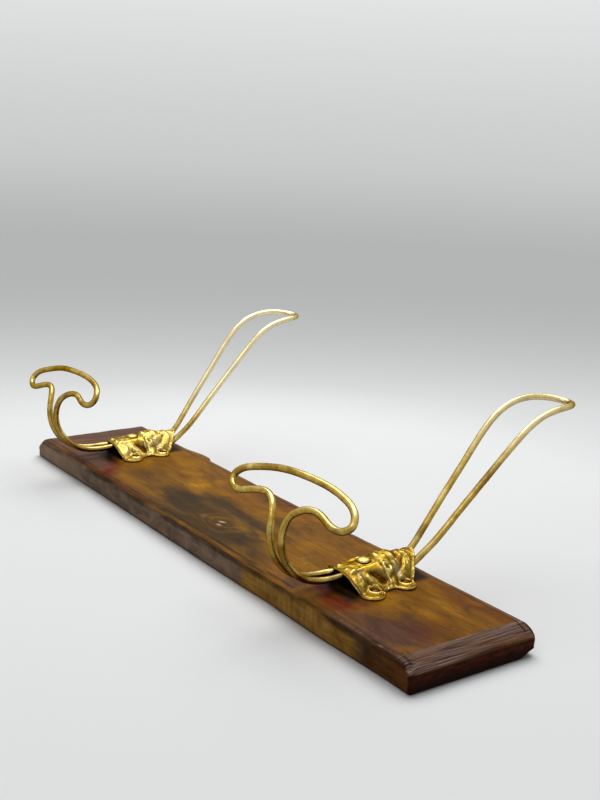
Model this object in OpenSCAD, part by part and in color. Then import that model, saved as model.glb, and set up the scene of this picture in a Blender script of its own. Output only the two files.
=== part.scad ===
// Wall rack: a varnished board with two double wire hooks.
// Each hook is one bent wire: a mushroom-shaped coat loop below, a long hat loop above.
// A stamped cover plate, a domed nail and four small nails hold each wire to the board.
//
// The rack lies on its back. The origin is the centre of the board's back face.
// +X runs along the board, +Y points up when the rack hangs, +Z points out from the wall.

/* [Board] */
// Length of the board
board_length = 413; // [380:1:520]
// Width of the board, from its lower to its upper long edge
board_width = 80; // [76:1:110]
// Thickness of the board
board_thickness = 15; // [14:0.5:22]
// Length of the slope at each end of the front face
end_slope_run = 10.7; // [6:0.1:16]
// Depth of that slope at the end of the board
end_slope_drop = 5; // [3:0.5:7]
// Width of the bevel along each long edge
edge_bevel_run = 4; // [2:0.5:6]
// Depth of the bevel along each long edge
edge_bevel_drop = 1; // [0.5:0.1:3]

/* [Hook places] */
// Distance from the board's right end to the middle of the right hook
right_hook_inset = 89; // [60:1:120]
// Distance from the board's left end to the middle of the left hook
left_hook_inset = 63; // [55:1:120]
// Height of the hooks' middle above the board's centre line
hook_rise = 2; // [-2:0.5:4]

/* [Wire] */
// Diameter of the wire
wire_diameter = 3.8; // [3:0.1:4.4]
// Spacing of the two legs of the wire under the plate
leg_spacing = 9; // [8:0.5:10]
// Gap between the two ends of the wire, under the plate
wire_end_gap = 0.6; // [0.4:0.1:1.5]

/* [Coat loop] */
// Reach of the coat loop's stem below the middle of the hook
coat_reach = 57; // [52:1:66]
// Height of the coat loop's top above the board
coat_height = 63; // [55:1:72]
// Width that the coat loop's two lobes are bent to
coat_width = 98; // [80:1:110]

/* [Hat loop] */
// Reach of the hat loop's tip above the middle of the hook
hat_reach = 148; // [135:1:165]
// Height of the hat loop's crown above the board
hat_height = 81.5; // [72:0.5:90]
// Spacing of the hat loop's two legs at their widest
hat_width = 26; // [20:0.5:34]

/* [Set of each loop] */
// Right coat loop: nod, lean and turn, in degrees
right_coat_set = [0, -1.5, 3]; // [-4:0.5:4]
// Right hat loop: nod, lean and turn, in degrees
right_hat_set = [0, 2.5, 1]; // [-6:0.5:6]
// Left coat loop: nod, lean and turn, in degrees
left_coat_set = [3, -3, 2]; // [-4:0.5:4]
// Left hat loop: nod, lean and turn, in degrees
left_hat_set = [3.5, 3.5, 6]; // [-6:0.5:6]
// Width of the left coat loop's outer lobe, as a share of its other lobe's
left_outer_lobe = 0.94; // [0.9:0.01:1]

/* [Cover plate] */
// Length of the cover plate below the middle of the hook
plate_below = 15; // [13:0.5:17]
// Length of the cover plate above the middle of the hook
plate_above = 34; // [32:0.5:36]
// Height of the cover plate's ridge above the board
plate_height = 13; // [12:0.5:16]
// Width of the cover plate at its waist
plate_waist = 39; // [38:0.5:42]
// Thickness of the brass sheet
sheet_thickness = 0.9; // [0.7:0.1:1.1]
// How far the plate's upper end is cut back at its two corners
upper_corner_cut = 10; // [6:0.5:11]
// Diameter of each lower ear
lower_ear_diameter = 15.6; // [13:0.1:17]
// Place of each lower ear's middle from its nail: outwards, up
lower_ear_offset = [1, -1.5]; // [-2:0.5:2]
// Diameter of each upper ear
upper_ear_diameter = 12.6; // [11:0.1:15]
// Place of each upper ear's middle from its nail: outwards, up
upper_ear_offset = [1, -2]; // [-2:0.5:2]

/* [Ear nails] */
// Spacing across the plate of the two lower nails
lower_nail_spacing = 36; // [33:0.5:38]
// Spacing across the plate of the two upper nails
upper_nail_spacing = 34; // [32:0.5:37]
// Distance of the lower nails below the middle of the hook
lower_nail_drop = 5; // [3:0.5:7]
// Distance of the upper nails above the middle of the hook
upper_nail_rise = 16; // [14:0.5:19]
// Diameter of the ear nails' shanks
nail_diameter = 1.6; // [1.2:0.1:2.2]
// Diameter of the ear nails' heads
nail_head_diameter = 3.6; // [3:0.1:5]
// Height of the ear nails' domed heads
nail_head_height = 1; // [0.6:0.1:1.6]
// Depth that the ear nails reach into the board
nail_depth = 10; // [7:0.5:12]

/* [Domed nail] */
// Diameter of the domed nail's shank, which passes between the wire's legs
dome_nail_diameter = 2.2; // [1.8:0.1:2.8]
// Diameter of the domed head
dome_diameter = 6.6; // [5:0.1:8]
// Height of the domed head
dome_height = 2; // [1.4:0.1:3]

/* [Fits] */
// Clearance of a nail in its hole, on the radius
nail_clearance = 0.05; // [0.03:0.01:0.1]
// Clearance between the wire and the board under the plate
wire_clearance = 0.05; // [0.02:0.01:0.2]

/* [Hidden] */

right_hook_x = board_length / 2 - right_hook_inset;
left_hook_x = left_hook_inset - board_length / 2;
wire_radius = wire_diameter / 2;
leg_x = leg_spacing / 2;
seat_height = wire_radius + wire_clearance;
cut_margin = 1;

// Facets and steps of the swept wire and of the plate's shell
wire_sides = 12;
steps_per_span = 4;
shell_columns = 24;
shell_rows = 20;
round_steps = 48;

// ---- Curve of the wire -------------------------------------------------------
// Control points are [distance from the hook's middle plane, up the board, off the board].

// Straight stretch that the plate presses against the board
seat_points = [
    [leg_x, 5, seat_height],
    [leg_x, 13.5, seat_height],
    [leg_x, 22, seat_height]
];

// Where each loop leaves the seat; the loop's own set begins after this point
coat_start = [leg_x - 1, -3, seat_height + 1.5];
hat_start = [leg_x, 31, seat_height + 1];

// One half of the coat loop: out of the plate's mouth, up the stem, round a lobe and over
lobe_x = coat_width / 2;
coat_points = [
    [leg_x - 1.5, -13, 6],
    [leg_x + 0.5, -23, 6],
    [leg_x - 0.5, 19 - coat_reach, 7.5],
    [leg_x + 0.5, 8.5 - coat_reach, 14.5],
    [leg_x - 0.5, 1.5 - coat_reach, 24.5],
    [leg_x, -coat_reach, coat_height - 27],
    [leg_x + 1.5, 3.5 - coat_reach, coat_height - 16],
    [0.3 * lobe_x, 8.5 - coat_reach, coat_height - 12],
    [0.5 * lobe_x, 8.5 - coat_reach, coat_height - 12],
    [lobe_x - 14.5, 5 - coat_reach, coat_height - 15],
    [lobe_x - 6.5, 5.5 - coat_reach, coat_height - 16],
    [lobe_x, 8 - coat_reach, coat_height - 12],
    [lobe_x - 4, 12 - coat_reach, coat_height - 6.5],
    [lobe_x - 13.5, 16 - coat_reach, coat_height - 4.5],
    [0.4 * lobe_x, 18 - coat_reach, coat_height - 1.5],
    [0, 16.5 - coat_reach, coat_height]
];

// One half of the hat loop: out of the plate's top, up the leg and over to the tip
hat_x = hat_width / 2;
hat_points = [
    [leg_x, 38, 9],
    [leg_x + 1.5, 44, 14],
    [leg_x + 3.5, hat_reach - 89.5, hat_height - 50.5],
    [hat_x - 3, hat_reach - 72.5, hat_height - 32.5],
    [hat_x - 0.5, hat_reach - 56, hat_height - 14],
    [hat_x, hat_reach - 42, hat_height - 3],
    [hat_x, hat_reach - 26, hat_height],
    [hat_x - 2, hat_reach - 11.5, hat_height - 0.5],
    [0, hat_reach, hat_height - 3]
];

// The points about which the loops are set, inside the plate's two mouths
coat_pivot = [0, -12, 6];
hat_pivot = [0, 34, 6];

function unit(v) = v / norm(v);
function across(p) = [-p[0], p[1], p[2]];
function reversed(list) = [for (i = [len(list) - 1 : -1 : 0]) list[i]];
function all_but_last(list) = [for (i = [0 : len(list) - 2]) list[i]];

// Both halves of a loop, from one leg to the other
function whole_loop(half) = concat(half, [for (p = reversed(all_but_last(half))) across(p)]);

// A loop with the lobe on its -X side bent to a share of its width
function narrowed(loop, share) = [for (p = loop) [p[0] * (p[0] < 0 ? share : 1), p[1], p[2]]];

// Turns a point by nod about X, then lean about Y, then turn about Z
function nodded(p, a) = [p[0], p[1] * cos(a) - p[2] * sin(a), p[1] * sin(a) + p[2] * cos(a)];
function leaned(p, a) = [p[0] * cos(a) + p[2] * sin(a), p[1], p[2] * cos(a) - p[0] * sin(a)];
function turned(p, a) = [p[0] * cos(a) - p[1] * sin(a), p[0] * sin(a) + p[1] * cos(a), p[2]];
function set_point(p, pivot, angles) =
    pivot + turned(leaned(nodded(p - pivot, angles[0]), angles[1]), angles[2]);
function set_loop(loop, pivot, angles) = [for (p = loop) set_point(p, pivot, angles)];

// The wire's whole ring of control points, round from one end under the plate to the other
function ring_points(coat_set, hat_set, outer_lobe) = concat(
    [for (p = reversed(seat_points)) across(p)],
    [across(coat_start)],
    reversed(set_loop(narrowed(whole_loop(coat_points), outer_lobe), coat_pivot, coat_set)),
    [coat_start],
    seat_points,
    [hat_start],
    set_loop(whole_loop(hat_points), hat_pivot, hat_set),
    [across(hat_start)]
);

// Uniform cubic B-spline span
function span_point(a, b, c, d, t) =
    (pow(1 - t, 3) * a
    + (3 * pow(t, 3) - 6 * pow(t, 2) + 4) * b
    + (-3 * pow(t, 3) + 3 * pow(t, 2) + 3 * t + 1) * c
    + pow(t, 3) * d) / 6;
function closed_curve(points) =
    let (n = len(points))
    [for (i = [0 : n - 1], k = [0 : steps_per_span - 1])
        span_point(points[i], points[(i + 1) % n], points[(i + 2) % n], points[(i + 3) % n],
            k / steps_per_span)];

// The ring cut open: its last point stops short of the first by the gap between the ends
function cut_open(curve) =
    concat(curve, [curve[0] + wire_end_gap * unit(curve[len(curve) - 1] - curve[0])]);

function tangent(path, i) = unit(path[min(i + 1, len(path) - 1)] - path[max(i - 1, 0)]);
function square_to(v, t) = unit(v - (v * t) * t);

// A direction square to the path at each point, carried along it without twisting
function carried_normals(path) =
    [for (i = 0, v = [0, 0, 1]; i < len(path);
        i = i + 1, v = square_to(v, tangent(path, min(i, len(path) - 1)))) v];

module swept_wire(path) {
    count = len(path);
    normals = carried_normals(path);
    rings = [for (i = [0 : count - 1])
        let (t = tangent(path, i), u = square_to(normals[i], t), w = cross(t, u))
        for (k = [0 : wire_sides - 1])
            path[i] + wire_radius * (cos(360 * k / wire_sides) * u + sin(360 * k / wire_sides) * w)];
    sides = [for (i = [0 : count - 2], k = [0 : wire_sides - 1])
        let (a = i * wire_sides + k, b = i * wire_sides + (k + 1) % wire_sides)
        [a, a + wire_sides, b + wire_sides, b]];
    first_end = [for (k = [0 : wire_sides - 1]) k];
    last_end = [for (k = [wire_sides - 1 : -1 : 0]) (count - 1) * wire_sides + k];
    polyhedron(points = rings, faces = concat(sides, [first_end, last_end]), convexity = 10);
}

// ---- Shell of the cover plate ------------------------------------------------

// Value at y, eased between stations given as [y, value]
function eased(y, stations) =
    let (
        last = len(stations) - 1,
        below = [for (i = [0 : last - 1]) if (stations[i][0] <= y) i],
        i = len(below) == 0 ? 0 : below[len(below) - 1],
        t = min(1, max(0, (y - stations[i][0]) / (stations[i + 1][0] - stations[i][0])))
    )
    stations[i][1] + (stations[i + 1][1] - stations[i][1]) * t * t * (3 - 2 * t);

lower_mouth_half = 17;
upper_mouth_half = 14;
domed_nail_place = [0, 1];
waist_half = plate_waist / 2;
ear_margin = nail_head_diameter / 2 + 0.8;

// Half width of the shell's foot
shell_foot = [
    [-plate_below, lower_mouth_half],
    [-lower_nail_drop, lower_nail_spacing / 2 - ear_margin],
    [4, waist_half],
    [7, waist_half],
    [upper_nail_rise - 1, upper_nail_spacing / 2 - ear_margin],
    [upper_nail_rise + 3, upper_nail_spacing / 2 - ear_margin],
    [plate_above - upper_corner_cut, upper_mouth_half]
];
// Height of the shell's ridge
shell_ridge = [
    [-plate_below, plate_height - 2.5],
    [domed_nail_place[1] - dome_diameter / 2, plate_height - 3],
    [domed_nail_place[1] + dome_diameter / 2, plate_height - 3],
    [15, plate_height],
    [21, plate_height - 1.5],
    [plate_above, plate_height - 2.5]
];
// How full the ridge's section is: low is a tent, high is a round arch
shell_fullness = [
    [-plate_below, 1.6],
    [10, 1.5],
    [upper_nail_rise + 3, 1.6],
    [plate_above, 1.5]
];

function shell_top(a, y) =
    sheet_thickness
    + (eased(y, shell_ridge) - sheet_thickness) * (1 - pow(abs(a), eased(y, shell_fullness)));
function shell_point(i, j, inner) =
    let (
        a = 2 * i / shell_columns - 1,
        along = j / shell_rows,
        cut = upper_corner_cut * pow(along, 3) * pow(abs(a), 1.3),
        y = -plate_below + (plate_below + plate_above) * along - cut,
        top = shell_top(a, y)
    )
    [a * eased(y, shell_foot), y, inner ? max(0, top - 1.3 * sheet_thickness) : top];

module plate_shell() {
    columns = shell_columns + 1;
    layer = columns * (shell_rows + 1);
    points = [for (inner = [false, true], j = [0 : shell_rows], i = [0 : shell_columns])
        shell_point(i, j, inner)];
    outer_faces = [for (j = [0 : shell_rows - 1], i = [0 : shell_columns - 1])
        let (a = j * columns + i, b = a + columns)
        each [[a, b, b + 1], [a, b + 1, a + 1]]];
    inner_faces = [for (f = outer_faces) [f[2] + layer, f[1] + layer, f[0] + layer]];
    rim = concat(
        [for (i = [0 : shell_columns]) i],
        [for (j = [1 : shell_rows]) j * columns + shell_columns],
        [for (i = [shell_columns - 1 : -1 : 0]) shell_rows * columns + i],
        [for (j = [shell_rows - 1 : -1 : 1]) j * columns]
    );
    rim_faces = [for (k = [0 : len(rim) - 1])
        let (a = rim[k], b = rim[(k + 1) % len(rim)])
        each [[a, b, b + layer], [a, b + layer, a + layer]]];
    polyhedron(points = points, faces = concat(outer_faces, inner_faces, rim_faces), convexity = 6);
}

// ---- Nails -------------------------------------------------------------------

lower_nail_place = [lower_nail_spacing / 2, -lower_nail_drop];
upper_nail_place = [upper_nail_spacing / 2, upper_nail_rise];
nail_places = [
    lower_nail_place, [-lower_nail_place[0], lower_nail_place[1]],
    upper_nail_place, [-upper_nail_place[0], upper_nail_place[1]]
];
domed_nail_seat = shell_top(0, domed_nail_place[1]);

module at_place(place, height = 0) {
    translate([place[0], place[1], height]) children();
}

// Domed head over a straight shank, its underside at height 0
module headed_nail(shank_diameter, shank_length, head_diameter, head_height) {
    ball_radius = (pow(head_diameter / 2, 2) + pow(head_height, 2)) / (2 * head_height);
    rotate_extrude($fn = round_steps) union() {
        translate([0, -shank_length]) square([shank_diameter / 2, shank_length + head_height / 2]);
        intersection() {
            translate([0, head_height - ball_radius]) circle(ball_radius, $fn = 96);
            square([head_diameter, head_height + cut_margin]);
        }
    }
}

module ear_nail(place) {
    color("darkgoldenrod") at_place(place, sheet_thickness)
        headed_nail(nail_diameter, sheet_thickness + nail_depth, nail_head_diameter, nail_head_height);
}

module domed_nail() {
    color("gold") at_place(domed_nail_place, domed_nail_seat)
        headed_nail(dome_nail_diameter, domed_nail_seat + nail_depth, dome_diameter, dome_height);
}

// Holes for one hook's five nails, through the plate and down into the board
module nail_holes() {
    for (place = nail_places)
        at_place(place, -nail_depth - nail_clearance)
            cylinder(d = nail_diameter + 2 * nail_clearance,
                h = nail_depth + nail_clearance + 2 * sheet_thickness, $fn = round_steps);
    at_place(domed_nail_place, -nail_depth - nail_clearance)
        cylinder(d = dome_nail_diameter + 2 * nail_clearance,
            h = nail_depth + nail_clearance + plate_height + cut_margin, $fn = round_steps);
}

// ---- Pieces ------------------------------------------------------------------

module at_hook(x) {
    translate([x, hook_rise, board_thickness]) children();
}

module board() {
    half = board_width / 2;
    color("saddlebrown") difference() {
        intersection() {
            // Section across the board, with its long bevels
            rotate([90, 0, 90]) linear_extrude(board_length, center = true) polygon([
                [-half, 0], [half, 0],
                [half, board_thickness - edge_bevel_drop],
                [half - edge_bevel_run, board_thickness],
                [edge_bevel_run - half, board_thickness],
                [-half, board_thickness - edge_bevel_drop]
            ]);
            // Section along the board, with its end slopes
            rotate([90, 0, 0]) linear_extrude(board_width + cut_margin, center = true) polygon([
                [-board_length / 2, 0], [board_length / 2, 0],
                [board_length / 2, board_thickness - end_slope_drop],
                [board_length / 2 - end_slope_run, board_thickness],
                [end_slope_run - board_length / 2, board_thickness],
                [-board_length / 2, board_thickness - end_slope_drop]
            ]);
        }
        at_hook(right_hook_x) nail_holes();
        at_hook(left_hook_x) nail_holes();
    }
}

module hook(x, coat_set, hat_set, outer_lobe = 1) {
    color("goldenrod") at_hook(x)
        swept_wire(cut_open(closed_curve(ring_points(coat_set, hat_set, outer_lobe))));
}

module ear(side, place, diameter) {
    at_place([side * place[0], place[1]])
        cylinder(d = diameter, h = sheet_thickness, $fn = round_steps);
}

module cover_plate(x) {
    color("gold") at_hook(x) difference() {
        union() {
            plate_shell();
            for (side = [-1, 1]) {
                ear(side, lower_nail_place + lower_ear_offset, lower_ear_diameter);
                ear(side, upper_nail_place + upper_ear_offset, upper_ear_diameter);
            }
        }
        nail_holes();
    }
}

board();
hook(right_hook_x, right_coat_set, right_hat_set);  // right_hook
union() {  // left_hook
    hook(left_hook_x, left_coat_set, left_hat_set, left_outer_lobe);
}
cover_plate(right_hook_x);  // right_cover_plate
cover_plate(left_hook_x);  // left_cover_plate
at_hook(right_hook_x) domed_nail();  // right_domed_nail
at_hook(left_hook_x) domed_nail();  // left_domed_nail
at_hook(right_hook_x) ear_nail(nail_places[0]);  // right_nail_lower_outer
at_hook(right_hook_x) ear_nail(nail_places[1]);  // right_nail_lower_inner
at_hook(right_hook_x) ear_nail(nail_places[2]);  // right_nail_upper_outer
at_hook(right_hook_x) ear_nail(nail_places[3]);  // right_nail_upper_inner
at_hook(left_hook_x) ear_nail(nail_places[1]);  // left_nail_lower_outer
at_hook(left_hook_x) ear_nail(nail_places[0]);  // left_nail_lower_inner
at_hook(left_hook_x) ear_nail(nail_places[3]);  // left_nail_upper_outer
at_hook(left_hook_x) ear_nail(nail_places[2]);  // left_nail_upper_inner
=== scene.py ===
"""Looks of the wall rack: a varnished board, two wire hooks, their stamped cover plates and nails.

Lengths below are in millimetres, measured like the CAD model's sizes, and turn into metres in the meshes.
A hook's own coordinates run across, up and off the board from its middle on the board's face.
"""
import math

import bpy
import numpy as np
from mathutils import Matrix, Vector


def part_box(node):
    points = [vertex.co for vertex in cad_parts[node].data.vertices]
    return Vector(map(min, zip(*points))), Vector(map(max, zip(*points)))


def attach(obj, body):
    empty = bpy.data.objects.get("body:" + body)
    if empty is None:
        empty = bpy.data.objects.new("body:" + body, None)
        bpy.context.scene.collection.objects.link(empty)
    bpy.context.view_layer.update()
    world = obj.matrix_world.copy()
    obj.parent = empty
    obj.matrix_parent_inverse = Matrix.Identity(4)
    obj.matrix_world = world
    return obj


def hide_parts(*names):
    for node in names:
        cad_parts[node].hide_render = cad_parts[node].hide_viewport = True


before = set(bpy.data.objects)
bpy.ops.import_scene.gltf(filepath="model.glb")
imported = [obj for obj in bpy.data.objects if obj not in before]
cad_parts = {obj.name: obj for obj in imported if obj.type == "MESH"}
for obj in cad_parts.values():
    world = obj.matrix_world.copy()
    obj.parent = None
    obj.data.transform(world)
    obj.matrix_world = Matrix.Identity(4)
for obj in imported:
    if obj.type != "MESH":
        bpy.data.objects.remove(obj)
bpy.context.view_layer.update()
MM = 0.001


def box_mm(node):
    low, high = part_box(node)
    return np.array(low) / MM, np.array(high) / MM


# ---- Sizes taken from the frame and driving dimensions ----

board_low, board_high = box_mm("board")
half_length, half_width = (board_high - board_low)[:2] / 2
board_face = board_high[2]

WIRE_RADIUS = 1.9
WIRE_SEAT = WIRE_RADIUS + 0.05
WIRE_END_GAP = 0.6
LEG_X = 4.5
COAT_REACH, COAT_HEIGHT, COAT_WIDTH = 57, 63, 98
HAT_REACH, HAT_HEIGHT, HAT_WIDTH = 148, 81.5, 26
# Nod, lean and turn of each loop, in degrees
COAT_SET = {"right": (0, -1.5, 3), "left": (3, -3, 2)}
HAT_SET = {"right": (0, 2.5, 1), "left": (3.5, 3.5, 6)}
# Width of each coat loop's lobe on the -X side, as a share of its other lobe's
OUTER_LOBE = {"right": 1, "left": 0.94}

PLATE_BELOW, PLATE_ABOVE, PLATE_WAIST = 15, 34, 39
SHEET = 0.9
CORNER_CUT, CORNER_CURVE = 10, 1.3
UPPER_MOUTH_HALF = 14
LOWER_NAIL = (18, -5)
UPPER_NAIL = (17, 16)
LOWER_EAR = (LOWER_NAIL[0] + 2.4, LOWER_NAIL[1] - 3.8, 6.5)
UPPER_EAR = (UPPER_NAIL[0] + 2, UPPER_NAIL[1] - 2.4, 5.8)
NAIL_HEAD = (1.8, 1)
NAIL_SHANK = 0.8
DOME_HEAD = (3.5, 2.1)
DOME_SHANK = 1.1
DOME_PLACE = (0, 1)
NAIL_DEPTH = 10


def hook_middle(side):
    """Where a hook's own coordinates begin: its cover plate's middle, on the board's face."""
    low, high = box_mm(side + "_cover_plate")
    return np.array([(low[0] + high[0]) / 2, low[1] + PLATE_BELOW, board_face])


# ---- Noise, easing and mesh helpers ----


def hashed(cells, seed):
    """A repeatable value from -1 to 1 for each whole-numbered cell."""
    h = cells[..., 0] * 73856093 ^ cells[..., 1] * 19349663 ^ cells[..., 2] * 83492791 ^ seed * 2654435
    h = (h ^ h >> 13) * 1274126177 & 0xFFFFFFFF
    h = (h ^ h >> 15) * 2246822519 & 0xFFFFFFFF
    return ((h ^ h >> 16) & 0xFFFF) / 32767.5 - 1


def noise(points, size, seed=0):
    """Smooth noise from -1 to 1, with lumps about size across, or one size for each axis."""
    places = np.asarray(points, float) / size
    cells = np.floor(places).astype(np.int64)
    t = places - cells
    t = t * t * (3 - 2 * t)
    total = 0
    for corner in np.ndindex(2, 2, 2):
        weight = np.prod(np.where(corner, t, 1 - t), axis=-1)
        total = total + weight * hashed(cells + corner, seed)
    return total


def rough(points, size, seed=0, octaves=3):
    """Noise summed over octaves, each half as large and as strong as the last."""
    size = np.asarray(size, float)
    return sum(noise(points, size / 2**k, seed + k) / 2**k for k in range(octaves))


def eased(y, stations):
    """Value at y, eased between stations given as (y, value)."""
    places, values = np.array(stations, float).T
    k = np.clip(np.searchsorted(places, y) - 1, 0, len(places) - 2)
    return values[k] + (values[k + 1] - values[k]) * rise(y, places[k], places[k + 1])


def rise(value, low, high):
    """Eases from 0 at low to 1 at high; low may be the greater, for a fall."""
    t = np.clip((value - low) / (high - low), 0, 1)
    return t * t * (3 - 2 * t)


def smooth_min(a, b, blend):
    return (a + b - np.sqrt((a - b) ** 2 + blend**2)) / 2


def bump(points, centre, radius):
    """A round bump: 1 at its centre, falling to 0 a little beyond its radius."""
    offset = (np.asarray(points) - centre) / radius
    return np.exp(-1.5 * (offset**2).sum(-1))


def distance_to_path(points, path):
    """Shortest distance from each plan point to a line of points."""
    best = np.full(points.shape[:-1], np.inf)
    for a, b in zip(np.asarray(path[:-1], float), np.asarray(path[1:], float)):
        t = np.clip(((points - a) @ (b - a)) / ((b - a) @ (b - a)), 0, 1)
        best = np.minimum(best, np.linalg.norm(points - a - t[..., None] * (b - a), axis=-1))
    return best


def rounded_path(path, rounds=3):
    """A line of points with its corners cut off again and again."""
    path = np.asarray(path, float)
    for _ in range(rounds):
        cut = np.stack([0.75 * path[:-1] + 0.25 * path[1:], 0.25 * path[:-1] + 0.75 * path[1:]], 1)
        path = np.vstack([path[:1], cut.reshape(-1, path.shape[1]), path[-1:]])
    return path


def rib(points, path, half_width):
    """A rounded rib along a path: 1 on it, 0 beside it."""
    return np.exp(-((distance_to_path(points, path) / half_width) ** 2))


def scene_object(name, data):
    obj = bpy.data.objects.new(name, data)
    bpy.context.scene.collection.objects.link(obj)
    return obj


def mesh_object(name, points, faces, material, sharp_degrees=40):
    """A smooth-shaded object from points in millimetres."""
    mesh = bpy.data.meshes.new(name)
    mesh.from_pydata((np.asarray(points) * MM).tolist(), [], faces)
    mesh.validate()
    mesh.shade_smooth()
    mesh.set_sharp_from_angle(angle=math.radians(sharp_degrees))
    mesh.materials.append(material)
    return scene_object(name, mesh)


def stand_in(obj, node, looks=None):
    """Puts a piece in the place of its plain CAD node, with what its material reads by name."""
    for name, values in (looks or {}).items():
        attribute = obj.data.attributes.new(name, "FLOAT", "POINT")
        attribute.data.foreach_set("value", np.asarray(values, np.float32).ravel())
    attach(obj, "root")
    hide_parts(node)


def grid_faces(rows, columns, start=0, flip=False):
    """Quads of a grid whose points run along each row in turn."""
    a = start + np.arange(rows * columns).reshape(rows, columns)[:-1, :-1].ravel()
    quads = np.stack([a, a + 1, a + 1 + columns, a + columns], 1)
    return (quads[:, ::-1] if flip else quads).tolist()


def rim_loop(rows, columns, start=0):
    """The grid's outer points in order: along the first row, then round."""
    grid = start + np.arange(rows * columns).reshape(rows, columns)
    return np.concatenate([grid[0], grid[1:, -1], grid[-1, -2::-1], grid[-2:0:-1, 0]]).tolist()


def circle(radius, z, count):
    """Points anticlockwise round a level circle."""
    return [(radius * math.cos(a), radius * math.sin(a), z)
            for a in np.linspace(0, 2 * math.pi, count, endpoint=False)]


def pairs(loop):
    """Each point of a closed loop with the next one."""
    return zip(loop, loop[1:] + loop[:1])


def band_faces(upper, lower):
    """Quads between two anticlockwise loops of as many points, facing outwards."""
    return [(a, c, d, b) for (a, b), (c, d) in zip(pairs(upper), pairs(lower))]


def outwards(loop):
    """Level unit vectors that point out of an anticlockwise loop of points."""
    ahead = np.roll(loop, -1, axis=0) - np.roll(loop, 1, axis=0)
    sideways = np.stack([ahead[:, 1], -ahead[:, 0], 0 * ahead[:, 0]], 1)
    return sideways / np.maximum(np.linalg.norm(sideways, axis=1), 1e-9)[:, None]


def closed_sheet(top, rings, under):
    """Points and faces of an upper grid, rings down round its edge and a lower grid."""
    rows, columns = top.shape[:2]
    above, start = rim_loop(rows, columns), rows * columns
    faces = grid_faces(rows, columns)
    for ring in rings:
        below = list(range(start, start + len(ring)))
        faces += band_faces(above, below)
        above, start = below, start + len(ring)
    faces += band_faces(above, rim_loop(rows, columns, start))
    faces += grid_faces(rows, columns, start, flip=True)
    return np.vstack([top.reshape(-1, 3), *rings, under.reshape(-1, 3)]), faces


# ---- Material helpers ----


class Nodes:
    """The nodes of a new material or world, made and linked in one call each."""

    def __init__(self, name, store=bpy.data.materials):
        self.owner = store.new(name)
        self.owner.use_nodes = True
        self.tree = self.owner.node_tree
        self.shader = self.tree.nodes.get("Principled BSDF")
        self.place = self.make("TexCoord").outputs["Object"]

    def make(self, kind, inputs=(), **settings):
        node = self.tree.nodes.new("ShaderNode" + kind)
        for key, value in settings.items():
            setattr(node, key, value)
        for key, value in dict(inputs).items():
            self.put(node.inputs[key], value)
        return node

    def put(self, socket, value):
        if isinstance(value, bpy.types.NodeSocket):
            self.tree.links.new(value, socket)
        else:
            socket.default_value = value

    def attribute(self, name):
        return self.make("Attribute", attribute_name=name).outputs["Fac"]

    def noise(self, scale, detail=3, roughness=0.55, distortion=0, place=None, shift=0):
        """Noise of a place, by default the object's own, with one scale or one for each axis."""
        inputs = {"Vector": place or self.place, "Scale": scale}
        if not np.isscalar(scale):
            inputs["Location"] = (shift, 0, 0)
            inputs = {"Vector": self.make("Mapping", inputs).outputs[0], "Scale": 1}
        inputs.update({"Detail": detail, "Roughness": roughness, "Distortion": distortion})
        return self.make("TexNoise", inputs).outputs["Fac"]

    def ramp(self, value, stops, interpolation="LINEAR"):
        """Colours or plain numbers by position along 0 to 1."""
        node = self.make("ValToRGB", {"Fac": value})
        band = node.color_ramp
        band.interpolation = interpolation
        while len(band.elements) < len(stops):
            band.elements.new(1)
        for element, (position, colour) in zip(band.elements, stops):
            element.position = position
            colour = (colour,) * 3 if np.isscalar(colour) else colour
            element.color = (*colour, 1)
        return node.outputs["Color"]

    def mix(self, amount, first, second):
        first, second = (c if isinstance(c, bpy.types.NodeSocket) else (*c, 1) for c in (first, second))
        inputs = {"Factor": amount, "A": first, "B": second}
        return self.make("Mix", inputs, data_type="RGBA").outputs["Result"]

    def layered(self, colour, *layers):
        """A colour under layers, each given as its extent, a value or an attribute's name, and its colour."""
        for where, layer in layers:
            colour = self.mix(self.attribute(where) if isinstance(where, str) else where, colour, layer)
        return colour

    def math(self, operation, first, second):
        return self.make("Math", {0: first, 1: second}, operation=operation).outputs[0]

    def bump(self, height, distance, strength, normal=None):
        inputs = {"Height": height, "Distance": distance, "Strength": strength}
        if normal is not None:
            inputs["Normal"] = normal
        return self.make("Bump", inputs).outputs[0]

    def finish_metal(self, tint, **sockets):
        """Bare metal, whose edges keep its colour."""
        return self.finish(Metallic=1, Specular_Tint=(*tint, 1), **sockets)

    def finish(self, **sockets):
        for name, value in sockets.items():
            self.put(self.shader.inputs[name.replace("_", " ")], value)
        return self.owner


# ---- Board ----

END_RUN, END_DROP = 10.7, 5
BEVEL_RUN, BEVEL_DROP = 4, 1
# Rounding of the upper arrises along the sides and at the ends
SIDE_ROUND, END_ROUND = 0.7, 2
# How far the sides draw in at the foot, and how far in the underside's own grid begins
FOOT_TUCK, UNDERSIDE_INSET = 1.1, 1.6
# Corners rounded in plan: signs of X and Y, and the radius
CORNERS = [(1, -1, 1.8), (1, 1, 2.4), (-1, 1, 3), (-1, -1, 2.6)]
# The far edge's sliver: where it stands proud, and by how much
SLIVER = [(-133, 0), (-112, 2.6), (-105, 2.4), (-98, 0)]
DENTS = [(60, 30), (-40, -12), (150, -30), (-150, 27), (100, 8), (-88, -30), (20, -33), (183, -8)]
DENT_DEPTH, DENT_RADIUS = 0.18, 2.2
KNOT = (12, -17)
# What the grain bends round: middle, reach along and across, and push
GRAIN_BENDS = [(*KNOT, 17, 8, 0.9), (-34, -14, 26, 13, 0.7), (104, -37, 7, 7, 0.9), (58, 14, 20, 8, 0.5)]

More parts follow.
